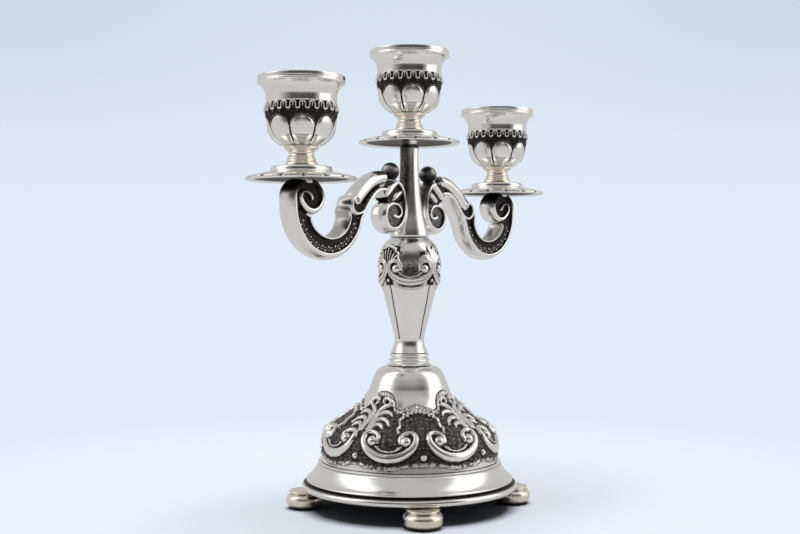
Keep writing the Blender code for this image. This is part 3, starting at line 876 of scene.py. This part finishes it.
def pan_shape():
    """A shallow drip pan with a raised boss and a scalloped edge cut by sixteen small notches."""
    boss = [(12.4, PAN_RISE), (13.2, 5.2), (13.75, 4.8), (14.0, 4.1), (14.1, 3.3), (14.5, 2.85)]
    slope = [(16.5, 2.45), (19.0, 1.9), (21.5, 1.35), (23.4, 0.85), (24.3, 0.55)]
    edge = [(24.9, 0.45), (25.35, 0.1), (25.4, -0.4)]
    under = smooth([(25.2, -0.9), (24.6, -1.15), (23.8, -1.05), (19.0, 0.2)], 5)
    line = np.vstack([[(1.8, PAN_RISE)], smooth(boss + slope + edge, 5), under, [(13.4, 1.3), (1.8, 1.3)]])
    columns = 384
    turn = np.linspace(0, 360, columns, endpoint=False)[None, :]
    from_notch = np.abs((turn + 11.25) % 22.5 - 11.25)
    notch = np.exp(-((from_notch / 1.7) ** 2))
    near_edge = step01(22.6, 23.6, line[:, :1])
    upper = near_edge * step01(-0.9, -0.2, line[:, 1:2])
    below = np.arange(len(line))[:, None] > np.argmin(np.abs(line[:, 1] + 0.75))
    dark = np.clip(1.2 * notch * upper + 0.8 * below, 0, 1)
    return lathe(line, columns, radial=-0.75 * notch * upper, dark=dark)


def cup_foot_shape():
    cap = [(7.4, 14.5), (7.75, 14.2), (7.9, 13.7), (7.7, 13.1), (7.0, 12.6)]
    waist = [(6.3, 12.1), (5.85, 11.5), (5.7, 10.8), (5.8, 10.0), (6.3, 9.2), (6.6, 8.6), (6.5, 8.0)]
    base = [(6.8, 7.4), (7.2, 6.9), (7.4, 6.5), (7.5, 6.0), (7.5, 5.6)]
    return lathe(np.vstack([[(1.8, 14.5)], smooth(cap + waist + base, 5), [(1.8, 5.6)]]), 96)


def make_cups(bright, chased, warm):
    bowl = bowl_shape().mesh("cup_bowl_lobes")
    liner = liner_shape().mesh("cup_liner_turned")
    pan = pan_shape().mesh("pan_notched")
    foot = cup_foot_shape().mesh("cup_foot_turned")
    for side in SIDES:
        middle = (low(f"pan_{side}") + high(f"pan_{side}")) / 2
        edge = float(high(f"pan_{side}")[2]) - PAN_RISE
        at = (middle[0], 0, edge)
        node = f"cup_liner_{side}"
        show(pan, f"pan_{side}_notched", "branch", chased, "bright_silver", f"pan_{side}", at=at)
        show(foot, f"cup_foot_{side}_turned", "branch", warm, "warm_silver", f"cup_foot_{side}", at=at)
        show(bowl, f"cup_bowl_{side}_lobes", "branch", chased, "darkened_silver", f"cup_bowl_{side}", at=at)
        show(liner, f"{node}_turned", f"liner_{side}", bright, "bright_silver", node, at=at)


# ---------------------------------------------------------------- the column and the feet


def make_column(look):
    top = float(high("column")[2])
    bottom = float(low("column")[2])
    collar = [(4.05, top), (4.1, top - 0.5), (3.85, top - 1.6), (3.85, top - 2.8), (4.35, top - 3.4)]
    shaft = [(4.7, top - 4.2), (4.65, 176.0), (4.75, 170.0), (5.1, 164.0), (5.6, 158.0), (6.3, 152.5)]
    foot = [(7.3, 147.0), (8.5, 142.2), (9.3, 139.0), (9.65, 137.2), (9.75, 136.3), (9.6, bottom)]
    line = np.vstack([[(1.8, top)], smooth(collar + shaft + foot, 6), [(2.0, bottom)]])
    seam = step01(bottom + 0.35, bottom, line[:, 1:2]) * 0.9
    turn = np.linspace(0, 2 * math.pi, 128, endpoint=False)[None, :]
    # Painted shade: the column's sides that face the arms are darkened from 146 mm upwards.
    shade_facing_arms = step01(0.42, 0.95, np.abs(np.cos(turn))) * step01(146.0, 158.0, line[:, 1:2])
    dark = np.maximum(seam, 0.74 * shade_facing_arms)
    show(lathe(line, 128, dark=dark), "column_turned", "branch", look, "bright_silver", "column")


BUN_RADIUS = 9.4
BUN_MIDDLE = 4.2
BUN_SQUARENESS = 2.9


def make_feet(look):
    turn = np.linspace(0.5, -0.5, 40) * math.pi
    rounded = 2 / BUN_SQUARENESS
    reach = BUN_RADIUS * np.cos(turn) ** rounded
    height = BUN_MIDDLE + BUN_MIDDLE * np.sign(np.sin(turn)) * np.abs(np.sin(turn)) ** rounded
    bun = np.column_stack([reach, height])
    bun = bun[(bun[:, 1] < 8.2) & (bun[:, 0] > 6.6)]
    line = np.vstack([[(0.02, 9.0), (7.7, 9.0), (8.0, 8.8), (7.9, 8.35)], bun, [(6.4, 0.0), (0.02, 0.0)]])
    mesh = lathe(line, 96).mesh("foot_bun")
    for corner in ("front_left", "front_right", "back_left", "back_right"):
        node = f"foot_{corner}"
        middle = (low(node) + high(node)) / 2
        show(mesh, f"{node}_bun", "stand", look, "warm_silver", node, at=(middle[0], middle[1], 0))


# ---------------------------------------------------------------- surroundings

AZIMUTH = -51.5
CAMERA_DISTANCE = 604.1
CAMERA_HEIGHT = 125.2
CAMERA_LEFT = 4.7
CAMERA_PITCH = 0.45
LENS = 53.85
BACKDROP = rgb(0.765, 0.840, 0.945)
UPPER_BACKDROP = rgb(0.605, 0.680, 0.790)
TENT_LOW, TENT_HIGH = 0.60, 0.50
LEFT_PANEL, RIGHT_PANEL = 0.95, 0.75
OPENING_DIMNESS = 0.91
LAMP_ENERGY = 22.5
LAMP_WIDTH = 56
CLOTH_FADE = (0.09, 0.40)


def make_camera():
    turn = math.radians(AZIMUTH)
    back = Vector((math.sin(turn), -math.cos(turn), 0))
    right = Vector((math.cos(turn), math.sin(turn), 0))
    data = bpy.data.cameras.new("camera")
    data.lens = LENS
    data.clip_start = 0.01
    camera = bpy.data.objects.new("camera", data)
    bpy.context.scene.collection.objects.link(camera)
    camera.location = (back * CAMERA_DISTANCE - right * CAMERA_LEFT + Vector((0, 0, CAMERA_HEIGHT))) * MM
    camera.rotation_euler = (math.radians(90 - CAMERA_PITCH), 0, turn)
    bpy.context.scene.camera = camera


def make_world():
    """A light tent, white on every side, with the dim room seen through the opening that the camera is in."""
    world = bpy.data.worlds.new("tent")
    bpy.context.scene.world = world
    world.use_nodes = True
    nodes = Nodes(world.node_tree)
    direction = nodes.add("ShaderNodeTexCoord").outputs["Generated"]
    values = {"Vector": direction, "Angle": math.radians(-AZIMUTH)}
    turned = nodes.add("ShaderNodeVectorRotate", values, rotation_type="Z_AXIS").outputs[0]
    axis = nodes.add("ShaderNodeSeparateXYZ", {0: turned})
    x, y, z = axis.outputs
    side = nodes.math("ARCTAN2", x, nodes.math("MULTIPLY", y, -1.0))
    side = nodes.math("MULTIPLY", side, 180 / math.pi)
    up = nodes.math("MULTIPLY", nodes.math("ARCSINE", z), 180 / math.pi)

    opening = nodes.between(side, (-78, -22), (70, 44))
    opening = nodes.math("MULTIPLY", opening, nodes.span(up, 46, 22))
    left = nodes.between(side, (-112, -92), (-50, -68))
    left = nodes.math("MULTIPLY", left, nodes.between(up, (5, 20), (72, 58)))
    right = nodes.between(side, (62, 68), (120, 104))
    right = nodes.math("MULTIPLY", right, nodes.between(up, (-5, 8), (70, 55)))
    light = nodes.span(up, -10, 70, TENT_LOW, TENT_HIGH)
    light = nodes.math("ADD", light, nodes.math("MULTIPLY", left, LEFT_PANEL))
    light = nodes.math("ADD", light, nodes.math("MULTIPLY", right, RIGHT_PANEL))
    dim = nodes.math("MULTIPLY", opening, OPENING_DIMNESS)
    light = nodes.math("MULTIPLY", light, nodes.math("SUBTRACT", 1.0, dim))
    tent = nodes.add("ShaderNodeBackground", {"Color": rgb(1.0, 0.99, 0.97), "Strength": light})

    edge = nodes.math("ABSOLUTE", nodes.math("SUBTRACT", nodes.math("ABSOLUTE", side), 180))
    fade = nodes.math("MULTIPLY", nodes.span(up, 1, 13), nodes.span(edge, 2, 20, 0.55, 1.0))
    sky = nodes.mix(fade, BACKDROP, UPPER_BACKDROP)
    backdrop = nodes.add("ShaderNodeBackground", {"Color": sky, "Strength": 1.0})
    seen = nodes.add("ShaderNodeLightPath").outputs["Is Camera Ray"]
    both = nodes.add("ShaderNodeMixShader", {0: seen, 1: tent.outputs[0], 2: backdrop.outputs[0]})
    nodes.add("ShaderNodeOutputWorld", {"Surface": both.outputs[0]})


def make_floor():
    """A pale sweep that takes the soft shadows near the foot and fades into the backdrop further out."""
    material, nodes = new_material("sweep")
    point = nodes.add("ShaderNodeTexCoord").outputs["Object"]
    distance = nodes.add("ShaderNodeVectorMath", {0: point}, operation="LENGTH").outputs["Value"]
    paper = nodes.noise(point, 6.0, 2.0)
    seen = nodes.add("ShaderNodeLightPath").outputs["Is Camera Ray"]
    bluish = nodes.mix(paper, rgb(0.108, 0.116, 0.129), rgb(0.111, 0.119, 0.132))
    tone = nodes.mix(seen, rgb(0.085, 0.085, 0.085), bluish)
    cloth = nodes.add("ShaderNodeBsdfDiffuse", {"Color": tone})
    far_tone = nodes.mix(seen, rgb(0.60, 0.60, 0.60), BACKDROP)
    glow = nodes.add("ShaderNodeEmission", {"Color": far_tone, "Strength": 1.0})
    far = nodes.span(distance, *CLOTH_FADE)
    both = nodes.add("ShaderNodeMixShader", {0: far, 1: cloth.outputs[0], 2: glow.outputs[0]})
    nodes.add("ShaderNodeOutputMaterial", {"Surface": both.outputs[0]})
    bpy.ops.mesh.primitive_grid_add(x_subdivisions=8, y_subdivisions=8, size=60)
    floor = bpy.context.object
    floor.name = "floor"
    floor.data.materials.append(material)


def make_lamp():
    """A broad lamp over the tent. Polished pieces don't reflect it, only the cloth that it shines on."""
    data = bpy.data.lights.new("lamp", "SUN")
    data.energy = LAMP_ENERGY
    data.angle = math.radians(LAMP_WIDTH)
    lamp = bpy.data.objects.new("lamp", data)
    lamp.visible_glossy = False
    bpy.context.scene.collection.objects.link(lamp)


bpy.context.scene.view_settings.view_transform = "Standard"
bright = metal("bright_silver_worn", SILVER, DULL_SILVER, 0.12, oxide_and_shade=False)
chased = metal("chased_silver_darkened", SILVER, DULL_SILVER, 0.17)
warm = metal("warm_silver_worn", PALE_WARM_SILVER, WARM_SILVER, 0.24, oxide_and_shade=False)
steel = metal("steel_drawn", STEEL, DULL_STEEL, 0.35, oxide_and_shade=False)
brass = metal("brass_turned", BRASS, DULL_BRASS, 0.3, oxide_and_shade=False)
LOOKS = {
    "bright_silver": bright,
    "darkened_silver": bright,
    "warm_silver": warm,
    "steel": steel,
    "brass": brass,
    "pitch": pitch(),
}
for row in frame["record"]["subparts"]:
    mesh = frame["nodes"][row["node"]].data
    mesh.materials.clear()
    mesh.materials.append(LOOKS[row["material_slot"]])

make_dome(chased)
make_stem(chased, bright)
make_rim(chased)
make_arms(chased)
make_cups(bright, chased, warm)
make_column(chased)
make_feet(warm)
make_world()
make_floor()
make_lamp()
make_camera()
